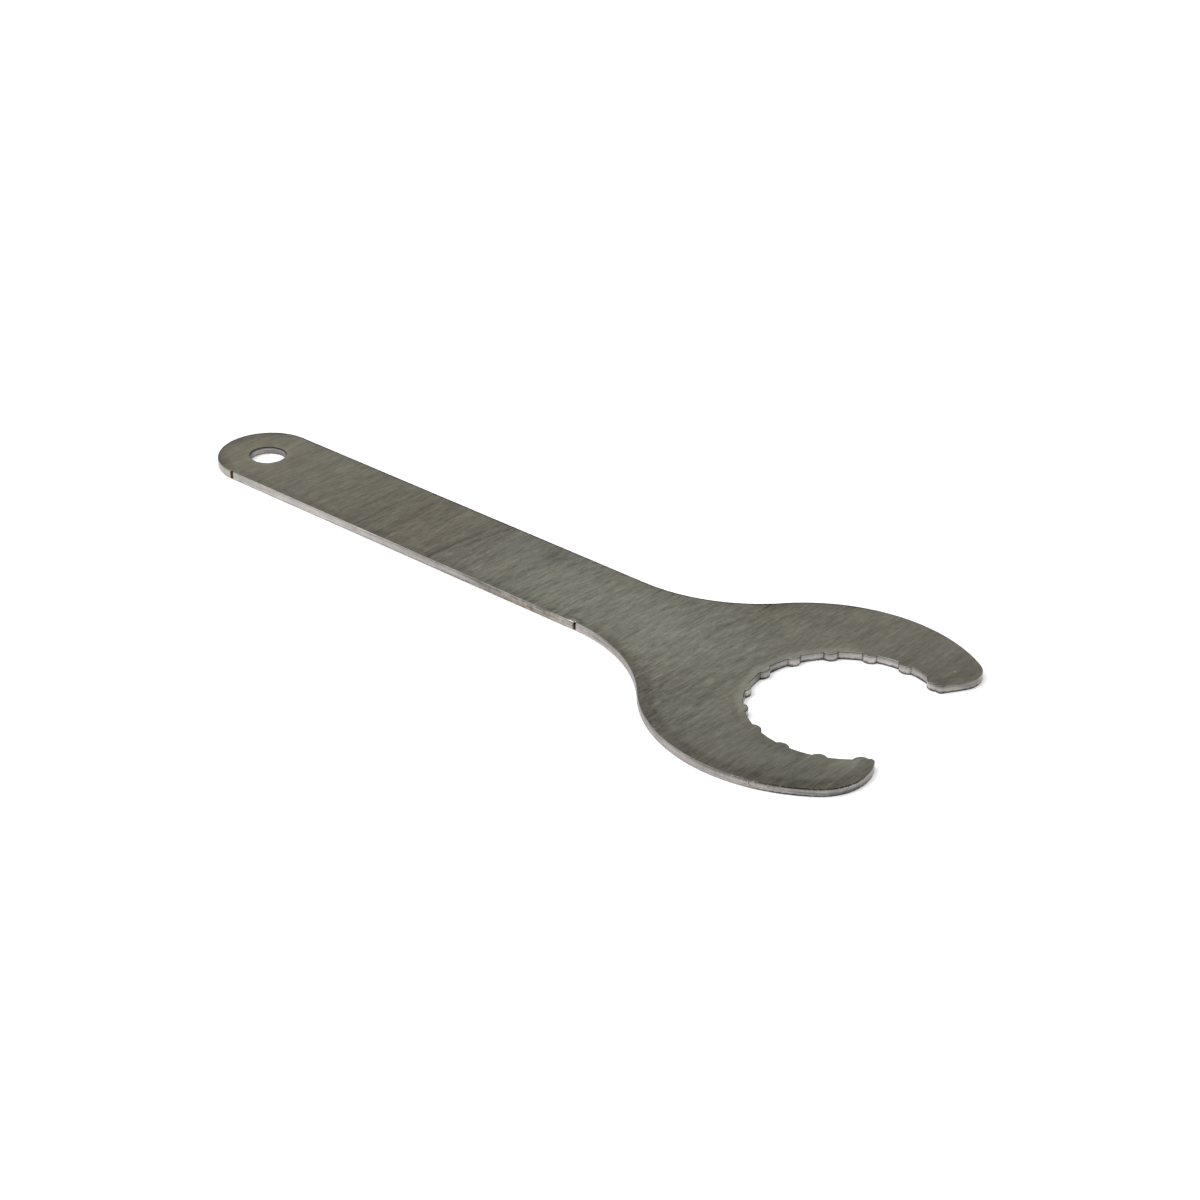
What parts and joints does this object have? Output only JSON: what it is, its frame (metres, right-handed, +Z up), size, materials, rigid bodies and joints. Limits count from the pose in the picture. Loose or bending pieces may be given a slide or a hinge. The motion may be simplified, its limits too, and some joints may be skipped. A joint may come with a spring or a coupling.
{
  "type": "bottom bracket wrench",
  "caption": "Flat steel plate spanner with an open lugged jaw for turning the notched cups of a bicycle's bottom bracket, and a long handle with a hanging hole.",
  "frame": {"origin": "centre of the jaw, on the underside of the plate", "axes": "+X out of the jaw's mouth along the handle's centre line, +Z up out of the plate; the arm with the straight end is on +Y and the arm with the full round end on -Y"},
  "size_m": [0.2136, 0.0784, 0.002],
  "materials": {
    "brushed_steel": "cross-brushed sheet steel with paler beam-cut edges, grey with a faint brown cast"
  },
  "bodies": {
    "root": {"wrench_plate": "brushed_steel"}
  },
  "joints": []
}
